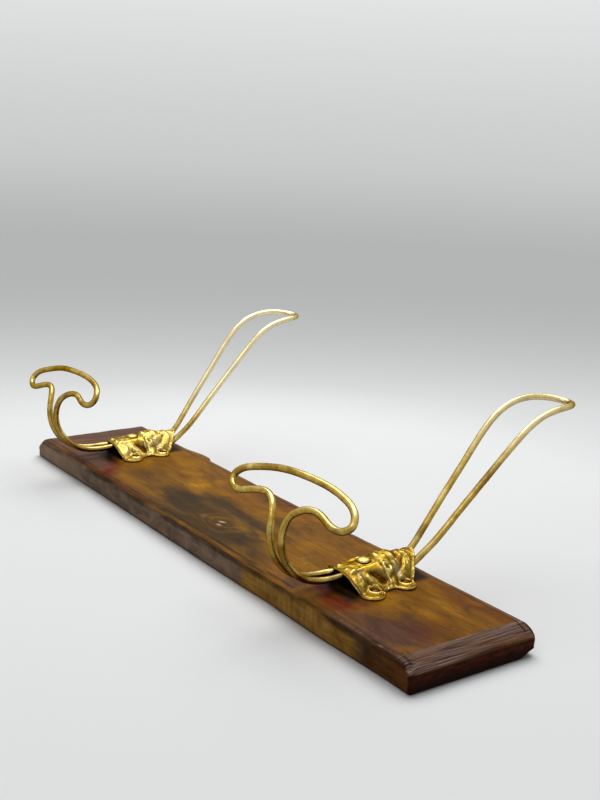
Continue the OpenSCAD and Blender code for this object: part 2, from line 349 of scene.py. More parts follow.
# Patches of colour on the upper face: strength, middle, radii, and where they differ from patch's own
# values, turn, softness and raggedness
DUSK = [
    (1, (-30, -17), (34, 17)),
    (0.85, (12, -15), (46, 13), -3),
    (0.85, (-16, -2), (16, 9), -15),
    (0.9, (26, -23), (38, 13)),
    (0.5, (KNOT[0] - 2, KNOT[1]), (14, 6), 0, 0.5),
    (0.9, (4, -34), (62, 7), 0, 0.4),
    (0.9, (12, -5), (30, 9), -6),
    (0.45, (-88, -14), (22, 12)),
    (0.5, (36, 11), (22, 4), -6),
    (0.55, (128, 38), (26, 4)),
    (0.5, (52, -1), (10, 4)),
]
GOLDEN = [
    (0.5, (40, -38.6), (82, 2.6), 0, 0.5),
    (0.65, (-84, 15), (36, 3.5), -12, 0.7),
    (1, (-58, 6), (18, 5), -28, 0.6),
    (0.75, (166, 18), (30, 5), -22, 0.7),
    (0.55, (178, 6), (18, 8), -10),
    (0.85, (142, -4), (9, 7), 20, 0.7),
    (0.6, (82, -14), (26, 12)),
    (0.5, (84, 12), (30, 10)),
    (0.5, (KNOT[0] + 9, KNOT[1] + 6), (12, 2.4), -10, 0.8),
    (0.45, (44, -9), (12, 2.2), -14, 0.8),
    (0.5, (30, 30), (34, 4), -4, 0.7),
    (0.7, (60, 34), (90, 5), 0, 0.8),
    (0.25, (-60, 30), (34, 7), 0, 0.8),
    (0.4, (-128, -4), (20, 12)),
    (0.5, (138, 27), (16, 4), -10),
]
# Red patches; the two beside the right plate are painted shade at the red edge of its shadow
RED_AND_SHADE_EDGE = [
    (0.8, (137, -27), (9, 8), -20),
    (0.5, (143, -16), (4, 14), 0, 0.5),
    (0.3, (182, -4), (12, 16)),
    (0.3, (-100, -38.5), (70, 2.6)),
    (0.4, (-10, 34), (40, 9)),
    (0.35, (158, 32), (40, 7)),
]
# Red streaks beside the plates, painted shade at the red edge of their shadows: half width and path
RED_SHADE_EDGE_STREAKS = [(4.8, [(116, -22.5), (128, -27), (141, -25)]), (5.6, [(-124, -22), (-114, -28), (-105, -35)])]
PLUM = [
    (1, (176, -25), (20, 18), 8),
    (0.8, (158, -29), (14, 7)),
    (0.8, (-188, 0), (26, 50), 0, 0.35, 0.2),
    (0.9, (-140, -30), (26, 11)),
    (0.8, (104, -32), (5, 9), 20),
    (0.45, (128, 30), (8, 10)),
    (0.25, (-8, -38), (150, 3)),
    (0.7, (178, -38), (34, 3), 0, 0.4),
]
FADED = [(0.55, (-190, 2), (26, 44), 0, 0.5, 0.3), (0.45, (-134, -28), (20, 8))]
# Painted shadow in front of the plates' mouths: half width and path
MOUTH_SHADOW_STREAKS = [
    (5.5, [(108, -14), (122, -18.5), (135, -17)]),
    (5.6, [(-154, -13), (-141, -18), (-129, -20)]),
]
# Pale spots at the knot and on the face
PALE_SPOTS = [
    (1, (KNOT[0] - 1.4, KNOT[1] - 0.2), (2.4, 1.3), 20, 0.4, 0.3),
    (0.9, (KNOT[0] + 1.6, KNOT[1] - 4.4), (1.7, 1), 0, 0.4, 0.3),
    (0.45, (80, -8), (0.9, 0.8), 0, 0.4, 0.2),
    (0.5, (86, -12), (0.8, 0.7), 0, 0.4, 0.2),
    (0.5, (183, -38), (1.3, 0.7), 0, 0.4, 0.2),
]
# Shades of the wood's figure by the tone of its grain, in the order in which they lie on each other
FIGURE = {
    "base": [(0.3, (0.1, 0.035, 0.001)), (0.5, (0.184, 0.072, 0.003)), (0.7, (0.268, 0.115, 0.007))],
    "dusk": [(0.36, (0.018, 0.009, 0.002)), (0.5, (0.04, 0.022, 0.006)), (0.62, (0.078, 0.043, 0.013))],
    "plum": [(0.36, (0.052, 0.019, 0.009)), (0.62, (0.122, 0.052, 0.029))],
    "golden": [(0.34, (0.16, 0.06, 0.001)), (0.5, (0.27, 0.116, 0.004)), (0.66, (0.45, 0.225, 0.012))],
    # The red ramp also paints the red edge of the plates' shadows
    "red_and_shade_edge": [(0.36, (0.05, 0.004, 0.001)), (0.6, (0.15, 0.016, 0.002))],
}


def spaced(half, edge_step, edge_count, step):
    """Places from -half to half, close together at both ends."""
    edge = np.cumsum([0, 0.1, 0.2, 0.3, 0.4, 0.5, 0.5] + [edge_step] * edge_count)
    count = round(2 * (half - edge[-1]) / step)
    middle = np.linspace(-half + edge[-1], half - edge[-1], count + 1)[1:-1]
    return np.concatenate([edge - half, middle, (half - edge)[::-1]])


def board_plan(x, y):
    """Moves the plain rectangle's points to the board's worn outline."""
    points = np.stack([x, y, np.zeros_like(x)], -1)
    for sx, sy, radius in CORNERS:
        qx = np.maximum(sx * x - (half_length - radius), 0)
        qy = np.maximum(sy * y - (half_width - radius), 0)
        size = np.hypot(qx, qy)
        shrink = np.where(size > 0, np.maximum(qx, qy) / np.maximum(size, 1e-9), 1)
        points[..., 0] += sx * qx * (shrink - 1)
        points[..., 1] += sy * qy * (shrink - 1)
    points[..., 1] += rise(y, half_width - 12, half_width) * eased(x, SLIVER)
    # Long edges waver a little
    waver = 0.35 * rough(points * [1, 0, 0] + [0, 1, 0], 45, seed=5)
    points[..., 1] += waver * (np.abs(y) / half_width) ** 4
    return points


def board_top(points):
    """Height of the board's upper face: slopes, bevels, undulation, dents and chips."""
    x, y = points[..., 0], points[..., 1]
    plan = points[..., :2]
    wander = 0.5 * rough(points, 14, seed=21)
    from_end = half_length - np.abs(x)
    from_edge = half_width - np.abs(y)
    share = np.clip((from_end + 0.4 * wander) / END_RUN, -0.2, 2)
    drop = END_DROP + 3 * bump(plan, (-half_length, -half_width), (26, 26))
    slope = board_face - drop * (1 - share) + 0.55 * np.sin(np.pi * np.clip(share, 0, 1))
    bevel = board_face - BEVEL_DROP * (1 - (from_edge + 0.6 * wander) / BEVEL_RUN)
    top = smooth_min(smooth_min(board_face, slope, 0.3), bevel, 0.25)
    # Undulation of a hand-planed plank; rasp marks along the end slopes, raised grain elsewhere
    on_slope = rise(share, 1.05, 0.9)
    top += 0.16 * rough(points, (60, 14, 50), seed=31) - 0.12
    top += 0.07 * on_slope * rough(points, (1.2, 26, 9), seed=41, octaves=1)
    top += 0.035 * (1 - on_slope) * rough(points, (30, 1, 9), seed=43, octaves=2)
    for dent in DENTS:
        top -= DENT_DEPTH * bump(plan, dent, DENT_RADIUS)
    # The chipped near corner, with a curl of wood standing beside its groove
    near = np.array([half_length, -half_width])
    groove = rounded_path(near + [(-13, 7.5), (-8.5, 8.5), (-5, 7), (-3.2, 3.2), (-4.5, 0)])
    curl = rounded_path(near + [(-12, 5.4), (-8.5, 6), (-6.4, 4.6), (-6.2, 2)])
    top += 0.5 * rib(plan, curl, 0.9) - rib(plan, groove, 0.9)
    top -= 1.2 * bump(plan, near + [-1.5, 1], 3)
    top -= 0.8 * bump(plan, near + [-28, 1], (2.2, 1.4))
    # The rounded arris above the sides, fuller along the near edge's left half
    at_end = rise(from_end - (from_edge + 2), 2, -2)
    fuller = 1.9 * rise(x, -60, -120) * (y < 0)
    radius = SIDE_ROUND + (END_ROUND - SIDE_ROUND) * at_end + fuller * (1 - at_end)
    inside = np.minimum(from_end, from_edge + eased(x, SLIVER) * (y > 0))
    short = np.clip(radius - inside, 0, radius)
    return top - radius + np.sqrt(np.maximum(radius**2 - short**2, 0))


def board_mesh():
    """Points and faces of the board: its upper face, rings round its sides, and its underside."""
    x, y = np.meshgrid(spaced(half_length, 0.6, 17, 1.3), spaced(half_width, 0.7, 7, 1))
    plan = board_plan(x, y)
    top = plan.copy()
    top[..., 2] = board_top(np.stack([x, y, 0 * x], -1))
    # The far right corner is worn away below as well
    flat = plan.copy()
    flat[..., 2] = 3.2 * rise(np.hypot(x - half_length, y - half_width), 9.5, 1.5)
    loop = rim_loop(*x.shape)
    edge_top, edge_flat = (face.reshape(-1, 3)[loop] for face in (top, flat))
    outward = outwards(edge_flat)
    rings = []
    for share in (0.04, 0.1, 0.2, 0.32, 0.45, 0.58, 0.7, 0.8, 0.88, 0.94, 0.98, 1):
        ring = edge_top * (1 - share) + edge_flat * share
        lumps = 0.16 * rough(ring, (30, 30, 4), seed=61) - 0.12
        tuck = FOOT_TUCK * rise(share, 0.82, 1)
        rings.append(ring + outward * (lumps * math.sin(math.pi * share) - tuck)[:, None])
    inset = [1 - UNDERSIDE_INSET / half_length, 1 - UNDERSIDE_INSET / half_width, 1]
    return closed_sheet(top, rings, flat * inset)


def patch(points, centre, radii, turn=0, soft=0.5, ragged=0.34):
    """1 inside an ellipse of the board's plan, fading to 0 outside it, with a ragged border."""
    offset = points[..., :2] - centre
    c, s = math.cos(math.radians(turn)), math.sin(math.radians(turn))
    along = (offset[..., 0] * c + offset[..., 1] * s) / radii[0]
    across = (offset[..., 1] * c - offset[..., 0] * s) / radii[1]
    border = ragged * rough(points, (24, 8, 20), seed=int(abs(centre[0])) + 3)
    return rise(np.hypot(along, across) + border, 1 + soft, 1 - soft)


def most(layers):
    """The strongest layer at each point, from (strength, values)."""
    return np.clip(np.max(np.stack([strength * values for strength, values in layers]), axis=0), 0, 1)


def patches(points, table):
    """The strongest of a table's patches at each point."""
    return most([(strength, patch(points, *shape)) for strength, *shape in table])


def streaks(points, table):
    """The strongest of a table's streaks at each point."""
    return most([(1, rib(points[:, :2], path, half_width)) for half_width, path in table])


def knot_rings(points):
    """Golden rings round the knot."""
    ring = np.hypot((points[:, 0] - KNOT[0]) / 1.5, points[:, 1] - KNOT[1])
    ring += 1.6 * rough(points, (12, 7, 9), seed=57)
    return rise(np.abs(ring - 7.2), 1.8, 0.3) + 0.7 * rise(np.abs(ring - 11.5), 1.8, 0.3)


def grain_across(points):
    """Place across the grain, whose lines bend round the knots."""
    x, y = points[:, 0], points[:, 1]
    across = y + 2.2 * rough(points * [1, 1, 0], (70, 40, 50), seed=51)
    for kx, ky, a, b, push in GRAIN_BENDS:
        across -= push * (y - ky) * np.exp(-(((x - kx) / a) ** 2) - ((y - ky) / b) ** 2)
    return across


def near_line(distance, reach, clear):
    """1 where a distance is near 0, within clear, and 0 beyond reach."""
    return rise(np.abs(distance), reach, clear)


def board_looks(points):
    """What the wood's material reads at each point, by name."""
    x, y, z = points.T
    from_end = half_length - np.abs(x)
    from_edge = half_width - np.abs(y)
    on_top = z > 12
    upper = z > 11
    end_face = rise(from_end, 2.4, 0.9) * rise(z, 10.2, 8.6)
    slope = rise(from_end, END_RUN + 0.5, END_RUN - 0.3) * (1 - end_face)
    # Pale patches, and a pale line 2.6 in from the near edge right of 130 that is painted highlight along the
    # bevel; the worn colour takes both in
    faded_and_sheen = most([
        (1, patches(points, FADED)),
        (0.5, near_line(from_edge - 2.6, 0.9, 0.2) * rise(x, 130, 160) * (y < 0)),
        (0.35, near_line(from_edge - 6, 0.8, 0.2) * rise(x, 150, 172) * (y < 0)),
    ])
    worn = np.maximum(slope * (0.86 + 0.35 * rough(points, (5, 22, 9), seed=71)), faded_and_sheen * on_top)
    bevel_dirt = rise(from_edge, BEVEL_RUN + 0.6, BEVEL_RUN - 1.4) * upper * (y < 0)
    # Soiling along the bevels and arrises, with painted shade in front of the plates' mouths and along the
    # board's foot
    grime_and_shade = most([
        (0.8, near_line(from_edge - BEVEL_RUN - 0.4, 0.8, 0.2) * on_top
         * rise(rough(points, (16, 3, 9), seed=77), -0.8, 0)),
        (0.8, bevel_dirt * rise(rough(points, (26, 2.2, 9), seed=78), 0.75, -0.75)),
        (1, streaks(points, MOUTH_SHADOW_STREAKS) * on_top),
        (0.7, near_line(from_edge - 0.9, 0.9, 0.2) * upper * (x > 120)),
        # Painted shade along the foot of the long sides and low on the end faces
        (0.75, rise(z, 1.6, 0.2) * (from_edge < 1.4)),
        (0.8, rise(z, 7.5, 2.5) * (from_end < 1.6)),
        (0.7, near_line(from_end - 0.9, 1, 0.3) * near_line(z - 8.8, 1.6, 0.4)),
    ])
    # Painted shade on the wood under the cover plates, fading out just beyond them
    for side in ("right", "left"):
        below = points - hook_middle(side)
        shade = rise(np.abs(below[:, 0]), 20, 15) * rise(np.abs(below[:, 1] - 8), 27, 22)
        grime_and_shade = np.maximum(grime_and_shade, 0.95 * shade * on_top)
    # The long sides are brown-grey, then golden, then dark
    wave = 9 * rough(points, (18, 30, 7), seed=87)
    pale = 0.5 * rise(x + 14 * rough(points, (30, 20, 8), seed=89), -120, -190)
    return {
        "dusk": patches(points, DUSK),
        "golden": np.maximum(patches(points, GOLDEN), 0.3 * knot_rings(points)),
        "red_and_shade_edge": np.maximum(patches(points, RED_AND_SHADE_EDGE), streaks(points, RED_SHADE_EDGE_STREAKS)),
        "plum": patches(points, PLUM),
        "side": rise(from_edge, 1.3, 0.5) * rise(z, board_face - 1.1, board_face - 1.9),
        "side_golden": rise(x + wave, 62, 76) * rise(x + wave, 176, 162),
        "side_dark": rise(x + wave, 164, 178),
        "side_pale": pale,
        "worn": np.clip(worn, 0, 1),
        "end_grain": end_face,
        "grime_and_shade": grime_and_shade,
        "pale_spots": patches(points, PALE_SPOTS),
        "across": grain_across(points),
        "saw": 0.04 + 0.3 * bump(points, (115, -40, 7), 26),
    }


def wood_material():
    n = Nodes("varnished_hardwood")
    split = n.make("SeparateXYZ", {0: n.place})
    across = n.math("MULTIPLY", n.attribute("across"), MM)
    flow = n.make("CombineXYZ", {0: split.outputs[0], 1: across, 2: split.outputs[2]}).outputs[0]
    # Noise drawn out along the grain's lines
    along = n.noise((14, 150, 110), 5, 0.6, 0.9, flow)
    fibres = n.noise((70, 800, 600), 3, 0.65, 0.1, flow)
    cloud = n.noise((26, 50, 50), 5, 0.62, 1.4, flow, 3)
    flecks = n.noise(420, 2, 0.6)
    strokes = n.noise((260, 620, 400), 4, 0.65, 0.3)
    tone = n.mix(0.2, n.mix(0.62, along, cloud), n.mix(0.5, fibres, strokes))
    figure = {name: n.ramp(tone, stops) for name, stops in FIGURE.items()}
    pores = n.math("MULTIPLY", n.ramp(fibres, [(0.33, 1), (0.42, 0)]), 0.55)
    figured = n.layered(
        figure.pop("base"),
        (n.ramp(cloud, [(0.48, 0), (0.7, 0.25)]), figure["golden"]),
        (n.ramp(cloud, [(0.3, 0.3), (0.46, 0)]), figure["dusk"]),
        *figure.items(),
        (pores, (0.02, 0.008, 0.003)),
        (n.ramp(flecks, [(0.7, 0), (0.76, 0.35)]), (0.42, 0.27, 0.1)),
        ("pale_spots", (0.52, 0.36, 0.2)),
    )
    # Bare, rasped wood on the end slopes
    rasp = n.noise((2100, 34, 160), 4, 0.65, 0.2)
    stops = [(0.36, (0.036, 0.016, 0.011)), (0.5, (0.135, 0.08, 0.06)), (0.64, (0.29, 0.196, 0.16))]
    bare = n.ramp(rasp, stops)
    # Sawn sides: brown-grey, golden and dark stretches with upright saw marks
    saw = n.noise((620, 60, 26), 3, 0.6, 0.1)
    sawn = n.mix(n.attribute("saw"), n.mix(0.5, n.noise(70, 4, 0.62, 0.8), n.mix(0.5, along, fibres)), saw)
    grey = n.ramp(sawn, [(0.38, (0.066, 0.041, 0.025)), (0.6, (0.222, 0.146, 0.094))])
    stops = [(0.38, (0.11, 0.048, 0.005)), (0.5, (0.235, 0.117, 0.018)), (0.62, (0.35, 0.195, 0.045))]
    amber = n.ramp(sawn, stops)
    umber = n.ramp(sawn, [(0.38, (0.036, 0.012, 0.002)), (0.62, (0.122, 0.044, 0.008))])
    flank = n.layered(grey, ("side_pale", (0.33, 0.215, 0.135)), ("side_golden", amber), ("side_dark", umber))
    rings = n.noise((20, 160, 700), 3, 0.6, 0.3)
    cut = n.ramp(rings, [(0.3, (0.014, 0.003, 0.001)), (0.7, (0.08, 0.016, 0.005))])
    # The darkest layer is soiling, with painted shade under and before the plates and along the board's foot
    dirt_and_shade_colour = (0.009, 0.004, 0.003)
    colour = n.layered(figured, ("worn", bare), ("side", flank), ("end_grain", cut), ("grime_and_shade", dirt_and_shade_colour))
    rougher = n.math("MULTIPLY", n.attribute("worn"), 0.25)
    gloss = n.math("ADD", n.ramp(cloud, [(0.3, 0.3), (0.7, 0.42)]), rougher)
    rasped = n.bump(rasp, 0.0004, 0.25, n.bump(tone, 0.0003, 0.35))
    return n.finish(Base_Color=colour, Roughness=gloss, Normal=rasped, Specular_IOR_Level=0.02)


def make_board(material):
    points, faces = board_mesh()
    obj = mesh_object("board_wood", points, faces, material, 32)
    stand_in(obj, "board", board_looks(points))


# ---- Wire hooks ----

WIRE_SIDES = 20
STEPS_PER_SPAN = 10
COAT_PIVOT, HAT_PIVOT = (0, -12, 6), (0, 34, 6)
# How clean each hat loop is; how pale, and from which height on
CLEANER = {"right": 0.15, "left": 0.75}
PALEST = {"right": (0.42, 46), "left": (0.65, 14)}


def turned_by(points, pivot, angles):
    """Points nodded about X, then leaned about Y, then turned about Z, round a pivot."""
    p = np.asarray(points, float) - pivot
    for axis, angle in enumerate(np.radians(angles)):
        a, b = p[:, axis - 2].copy(), p[:, axis - 1].copy()
        p[:, axis - 2] = a * math.cos(angle) - b * math.sin(angle)
        p[:, axis - 1] = a * math.sin(angle) + b * math.cos(angle)
    return p + pivot


def whole_loop(half):
    """Both halves of a loop, from one leg to the other."""
    return np.vstack([half, half[-2::-1] * [-1, 1, 1]])


def ring_points(side):
    """The wire's ring of control points, from one end under the plate to the other."""
    lobe, crown = COAT_WIDTH / 2, HAT_WIDTH / 2
    seat = np.array([(LEG_X, 5, WIRE_SEAT), (LEG_X, 13.5, WIRE_SEAT), (LEG_X, 22, WIRE_SEAT)])
    coat_start = np.array([[LEG_X - 1, -3, WIRE_SEAT + 1.5]])
    hat_start = np.array([[LEG_X, 31, WIRE_SEAT + 1]])
    # The mushroom and the hat loop are measured from their own reach and height
    coat_stem = [
        (LEG_X - 1.5, -13, 6),
        (LEG_X + 0.5, -23, 6),
        (LEG_X - 0.5, 19 - COAT_REACH, 7.5),
        (LEG_X + 0.5, 8.5 - COAT_REACH, 14.5),
        (LEG_X - 0.5, 1.5 - COAT_REACH, 24.5),
    ]
    mushroom = np.array([
        (LEG_X, 0, -27),
        (LEG_X + 1.5, 3.5, -16),
        (0.3 * lobe, 8.5, -12),
        (0.5 * lobe, 8.5, -12),
        (lobe - 14.5, 5, -15),
        (lobe - 6.5, 5.5, -16),
        (lobe, 8, -12),
        (lobe - 4, 12, -6.5),
        (lobe - 13.5, 16, -4.5),
        (0.4 * lobe, 18, -1.5),
        (0, 16.5, 0),
    ])
    hat_stem = [(LEG_X, 38, 9), (LEG_X + 1.5, 44, 14)]
    hat = np.array([
        (LEG_X + 3.5, -89.5, -50.5),
        (crown - 3, -72.5, -32.5),
        (crown - 0.5, -56, -14),
        (crown, -42, -3),
        (crown, -26, 0),
        (crown - 2, -11.5, -0.5),
        (0, 0, -3),
    ])
    across = np.array([-1, 1, 1])
    coat_ring = whole_loop(np.vstack([coat_stem, mushroom + [0, -COAT_REACH, COAT_HEIGHT]]))
    coat_ring[:, 0] *= np.where(coat_ring[:, 0] < 0, OUTER_LOBE[side], 1)
    coat_ring = turned_by(coat_ring, COAT_PIVOT, COAT_SET[side])
    hat_ring = whole_loop(np.vstack([hat_stem, hat + [0, HAT_REACH, HAT_HEIGHT]]))
    hat_ring = turned_by(hat_ring, HAT_PIVOT, HAT_SET[side])
    return np.vstack([seat[::-1] * across, coat_start * across, coat_ring[::-1], coat_start,
                      seat, hat_start, hat_ring, hat_start * across])


def closed_curve(points):
    """Uniform cubic B-spline round a closed ring of control points."""
    t = np.arange(STEPS_PER_SPAN)[None, :, None] / STEPS_PER_SPAN
    a, b, c, d = (np.roll(points, -k, axis=0)[:, None, :] for k in range(4))
    spans = (1 - t) ** 3 * a + (3 * t**3 - 6 * t**2 + 4) * b
    spans = spans + (-3 * t**3 + 3 * t**2 + 3 * t + 1) * c + t**3 * d
    return (spans / 6).reshape(-1, 3)


def wire_material():
    n = Nodes("aged_brass_wire")
    blotch = n.noise(95, 4, 0.6, 0.4)
    specks = n.noise(620, 3, 0.65)
    stops = [(0.28, (0.22, 0.118, 0.014)), (0.48, (0.49, 0.325, 0.062)), (0.72, (0.76, 0.6, 0.225))]
    stain = n.math("MULTIPLY", n.ramp(specks, [(0.58, 0), (0.7, 1)]), 0.5)
    # Tarnished patches darken the wire, with painted shade on its underside; the pale layer is partly painted
    # highlight along its upper side
    colour = n.layered(
        n.ramp(blotch, stops),
        (stain, (0.15, 0.075, 0.018)),
        ("tarnish_and_shade", (0.15, 0.078, 0.014)),
        ("pale", (0.95, 0.86, 0.56)),
    )
    gloss = n.ramp(specks, [(0.3, 0.17), (0.7, 0.36)])
    pits = n.bump(specks, 0.0002, 0.15, n.bump(n.noise(210, 2), 0.0004, 0.15))
    return n.finish_metal((0.42, 0.28, 0.09), Base_Color=colour, Roughness=gloss, Normal=pits)


def wire_rings(path):
    """Rings of points round a path, turning with it as little as they can."""
    ahead = np.gradient(path, axis=0)
    ahead /= np.linalg.norm(ahead, axis=1)[:, None]
    angles = np.linspace(0, 2 * math.pi, WIRE_SIDES, endpoint=False)[:, None]
    normal = np.array([0, 0, 1])
    rings = []
    for centre, tangent in zip(path, ahead):
        normal = normal - (normal @ tangent) * tangent
        normal /= np.linalg.norm(normal)
        side_way = np.cross(tangent, normal)
        rings.append(centre + WIRE_RADIUS * (np.cos(angles) * normal + np.sin(angles) * side_way))
    rings = np.array(rings)
    # Hand bending and plating leave the surface slightly uneven
    uneven = 0.03 * rough(rings, 3.5, seed=81) - 0.02
    return rings + (rings - path[:, None, :]) * uneven[..., None]


def make_hook(side, material):
    middle = hook_middle(side)
    path = closed_curve(ring_points(side)) + middle
    # The ring is cut open under the plate
    back = path[-1] - path[0]
    path = np.vstack([path, path[0] + WIRE_END_GAP * back / np.linalg.norm(back)])
    rings = wire_rings(path)
    last = (len(path) - 1) * WIRE_SIDES
    faces = []
    for start in range(0, last, WIRE_SIDES):
        ring = list(range(start, start + WIRE_SIDES))
        faces += [(a, b, b + WIRE_SIDES, a + WIRE_SIDES) for a, b in pairs(ring)]
    faces += [tuple(reversed(range(WIRE_SIDES))), tuple(range(last, last + WIRE_SIDES))]
    points = rings.reshape(-1, 3)
    obj = mesh_object(side + "_hook_wire", points, faces, material, 60)
    # Tarnish gathers by the plate and in patches; the darkening underneath is painted shade
    own = points - middle
    facing_down = (path[:, None, :] - rings).reshape(-1, 3)[:, 2] / WIRE_RADIUS
    low = 0.6 * rise(own[:, 2], 28, 8)
    painted_underside_shade = 0.8 * rise(facing_down, -0.35, 0.75)
    patchy = 0.6 * rise(rough(points, 11, seed=91), 0.15, 0.75)
    tarnish_and_shade = np.clip(low * (0.6 + 0.5 * noise(points, 6, 93)) + patchy + painted_underside_shade, 0, 0.9)
    tarnish_and_shade *= 1 - CLEANER[side] * rise(own[:, 1], 22, 36)
    # The plating is palest on the hat loops; the pale upper side is painted highlight
    palest, height = PALEST[side]
    pale = palest * rise(own[:, 1], 24, 40) * rise(own[:, 2], height, height + 30)
    painted_top_highlight = 0.16 * rise(-facing_down, 0.45, 0.95)
    looks = {"tarnish_and_shade": tarnish_and_shade, "pale": np.maximum(pale, painted_top_highlight)}
    stand_in(obj, side + "_hook", looks)


# ---- Cover plates ----

MOUTH = -16
# Half width, ridge height and fullness of the raised shell, by place up the plate
SHELL_FOOT = [(MOUTH, 18.5), (-5, 15.4), (4, 19.5), (7, 19.5), (15, 14.4), (19, 14.4), (24, 14)]
SHELL_RIDGE = [
    (MOUTH, 8.5), (-9, 9.2), (-2.3, 9.3), (4.3, 9.7), (9, 12), (15, 12.6), (21, 11.4), (PLATE_ABOVE, 10.4),
]
SHELL_FULLNESS = [(MOUTH, 2.4), (0, 2.2), (8, 1.8), (19, 1.7), (PLATE_ABOVE, 1.6)]
HALF_COLUMNS = 66
PLATE_ROWS = 124
DOME_SEAT = 9.35
NAIL_SINK = 0.3
# Thinnest sheet, and the lowest that the shell's faces come to the board
THINNEST, LOWEST_TOP, LOWEST_UNDER = 0.3, 0.35, 0.02
# Edge of the sheet: how far it swells outwards
EDGE_SWELL = 0.28
# Trim of the left side: nail that it shrinks towards, share, and where it sets in and ends
TRIMS = [(LOWER_NAIL, 0.6, 4, -4), (UPPER_NAIL, 0.3, 8, 12)]


def arc(centre_and_radius, start, end, count=24):
    cx, cy, radius = centre_and_radius
    angles = np.radians(np.linspace(start, end, count))
    return np.stack([cx + radius * np.cos(angles), cy + radius * np.sin(angles)], 1)


def by_length(path, count):
    """Points evenly spaced along a path."""
    steps = np.concatenate([[0], np.cumsum(np.linalg.norm(np.diff(path, axis=0), axis=1))])
    places = np.linspace(0, steps[-1], count)
    return np.stack([np.interp(places, steps, path[:, k]) for k in range(2)], 1)


def half_plate_plan():
    """Plan points of the plate's right half, rows from its lower mouth to its upper end."""
    mouth = np.array([(0, MOUTH), (8, MOUTH - 0.1), (14, MOUTH + 0.1)])
    lower = np.vstack([rounded_path(mouth), arc(LOWER_EAR, 246, 315)])
    waist = np.array([(2, -1.6), (0.5, 0.6), (0.2, 3), (-0.1, 5.4), (0.4, 7.4)]) + [PLATE_WAIST / 2, 0]
    waist = rounded_path(waist, 2)
    outer = np.vstack([arc(LOWER_EAR, 315, 418), waist, arc(UPPER_EAR, 300, 455)])
    outer = np.vstack([outer, [(UPPER_MOUTH_HALF + 2.5, 21.5), (UPPER_MOUTH_HALF, PLATE_ABOVE - CORNER_CUT)]])
    across = np.linspace(0, 1, 20)
    upper = np.stack([across * UPPER_MOUTH_HALF, PLATE_ABOVE - CORNER_CUT * across**CORNER_CURVE], 1)
    lower, upper = by_length(lower, HALF_COLUMNS + 1), by_length(upper, HALF_COLUMNS + 1)
    outer = by_length(outer, PLATE_ROWS + 1)
    middle = np.stack([np.zeros(PLATE_ROWS + 1), np.linspace(MOUTH, PLATE_ABOVE, PLATE_ROWS + 1)], 1)
    s = np.linspace(0, 1, HALF_COLUMNS + 1)[None, :, None]
    t = np.linspace(0, 1, PLATE_ROWS + 1)[:, None, None]
    ruled = (1 - t) * lower[None] + t * upper[None] + (1 - s) * middle[:, None] + s * outer[:, None]
    below = (1 - s) * (1 - t) * lower[0] + s * (1 - t) * lower[-1]
    above = (1 - s) * t * upper[0] + s * t * upper[-1]
    return ruled - (below + above)


def shell_height(u, y):
    """Height of the plain shell and its ears above the board."""
    a = np.clip(np.abs(u) / eased(y, SHELL_FOOT), 0, 1)
    return SHEET + (eased(y, SHELL_RIDGE) - SHEET) * (1 - a ** eased(y, SHELL_FULLNESS))


# Ribs and grooves of one half: height, half width, and the curve's corner points
RELIEF_LINES = [
    (0.75, 1, [(6.9, -12.5), (6.2, -7), (6, -3), (6.5, 0.5), (5.4, 4.6)]),  # crease beside the domed nail
    (0.7, 1.1, [(10.8, -8.6), (13, -8.8), (14.6, -10.6)]),
    (0.5, 0.9, [(10.6, -3.9), (12.6, -3.4), (14.6, -2), (17.2, 0.2)]),  # lip between pit and ear
    (-1.8, 2.7, [(9, 0.8), (12, 2), (14.8, 3.2)]),  # the dark pit
    (0.5, 1.7, [(6.2, -2.4), (6.7, 1.2), (7, 4)]),
    (-0.9, 0.8, [(12.6, -5.2), (14, -4.6)]),
    (0.55, 0.85, [(6, 5.4), (9.8, 5.2), (13, 4.5), (16.4, 4.6), (19, 2.8)]),  # two scroll ribs
    (0.5, 0.8, [(6.2, 7.4), (9.4, 7), (12.4, 6.4), (15.8, 6.6), (19, 5.4)]),
    (-0.25, 0.45, [(6.4, 6.4), (9.6, 6.1), (12.8, 5.4), (16, 5.6)]),
    (-0.9, 0.9, [(5.2, 22.6), (8.8, 20), (11, 15.4), (13.2, 9.6), (15, 7.6)]),  # S-shaped groove
    (0.45, 1.1, [(7, 24.6), (10.8, 21.8), (13.2, 17.6), (14, 13.2), (16.4, 10.2), (18.6, 8)]),
    (0.25, 1.2, [(12, 27), (13.2, 22), (13, 18)]),
    (0.35, 0.8, [(2, 25), (4.6, 27), (8.6, 26), (10.8, 23.4)]),
    (-0.3, 0.6, [(2.4, 23.4), (5.6, 24.6), (8.6, 23)]),
    (0.35, 0.7, [(3, 30.8), (6.6, 29.6), (9.8, 27)]),
    (0.4, 0.9, [(14.2, 24.5), (13, 27.4), (10.6, 29.6)]),
]
# Lobes and hollows of one half: height, radius, and the middle
RELIEF_SPOTS = [
    (1, 2.1, (0.6, 7.4)),  # bead above the domed nail
    (0.6, 1.6, (6.8, 3.4)),
    (0.6, 1.5, (6.2, -10.5)),
    (-1, 1.15, (10.1, 8.8)),  # eye of the volute
    (0.9, 2, (4.6, 15.8)),
    (0.8, 1.5, (7.1, 17.4)),
    (0.7, 1.2, (8.2, 15.2)),
    (-0.6, 1.1, (6.2, 13.6)),
    (0.5, 1.5, (3.4, 11.8)),
    (0.5, 2.4, (2, 15.6)),
    (-0.8, 1.5, (2.6, 20.4)),
    (-0.5, 1.2, (9, 12.8)),
    (0.5, 1.3, (11.6, 11.6)),
    (0.45, 1.2, (5.2, 31.2)),
    (-0.4, 1.2, (2.2, 28.4)),
    (0.7, 1.7, (3.4, -12.6)),
    (-0.35, 1.7, (2.6, -8.6)),
]
VOLUTE = (10, 9, 2.2)
